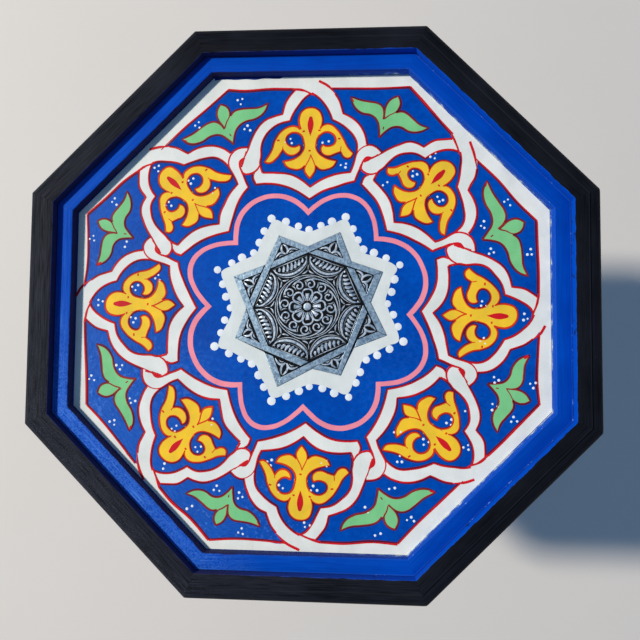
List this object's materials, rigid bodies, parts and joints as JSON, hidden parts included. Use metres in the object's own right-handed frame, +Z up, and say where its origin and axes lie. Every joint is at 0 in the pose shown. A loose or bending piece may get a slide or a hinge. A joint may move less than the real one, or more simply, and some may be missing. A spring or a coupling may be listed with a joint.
{
  "type": "accent table",
  "caption": "Octagonal side table with a trayed painted top, moulded rim, embossed metal star and a body of arched boards.",
  "frame": {"origin": "on the floor, under the middle of the top", "axes": "+Z up; the flats of the octagon face X, Y and the diagonals; +Y is the far side of the top in the picture and +X its right"},
  "size_m": [0.408, 0.408, 0.542],
  "materials": {
    "blue_paint": "hand-painted satin enamel on wood",
    "black_paint": "brushed black satin enamel on wood",
    "embossed_metal": "embossed white-metal sheet with black patina",
    "bare_wood": "bare sawn softwood",
    "zinc_steel": "zinc-plated"
  },
  "bodies": {
    "root": {"top_panel": "blue_paint", "star_plate": "embossed_metal", "rim_moulding_1": "black_paint", "rim_moulding_2": "black_paint", "rim_moulding_3": "black_paint", "rim_moulding_4": "black_paint", "rim_moulding_5": "black_paint", "rim_moulding_6": "black_paint", "rim_moulding_7": "black_paint", "rim_moulding_8": "black_paint", "ledge_strip_1": "blue_paint", "ledge_strip_2": "blue_paint", "ledge_strip_3": "blue_paint", "ledge_strip_4": "blue_paint", "ledge_strip_5": "blue_paint", "ledge_strip_6": "blue_paint", "ledge_strip_7": "blue_paint", "ledge_strip_8": "blue_paint", "side_board_1": "blue_paint", "side_board_2": "blue_paint", "side_board_3": "blue_paint", "side_board_4": "blue_paint", "side_board_5": "blue_paint", "side_board_6": "blue_paint", "side_board_7": "blue_paint", "side_board_8": "blue_paint", "neck_moulding_1": "black_paint", "neck_moulding_2": "black_paint", "neck_moulding_3": "black_paint", "neck_moulding_4": "black_paint", "neck_moulding_5": "black_paint", "neck_moulding_6": "black_paint", "neck_moulding_7": "black_paint", "neck_moulding_8": "black_paint", "corner_block_1": "bare_wood", "corner_block_2": "bare_wood", "corner_block_3": "bare_wood", "corner_block_4": "bare_wood", "corner_block_5": "bare_wood", "corner_block_6": "bare_wood", "corner_block_7": "bare_wood", "corner_block_8": "bare_wood", "block_screw_1": "zinc_steel", "block_screw_2": "zinc_steel", "block_screw_3": "zinc_steel", "block_screw_4": "zinc_steel", "block_screw_5": "zinc_steel", "block_screw_6": "zinc_steel", "block_screw_7": "zinc_steel", "block_screw_8": "zinc_steel"}
  },
  "joints": []
}
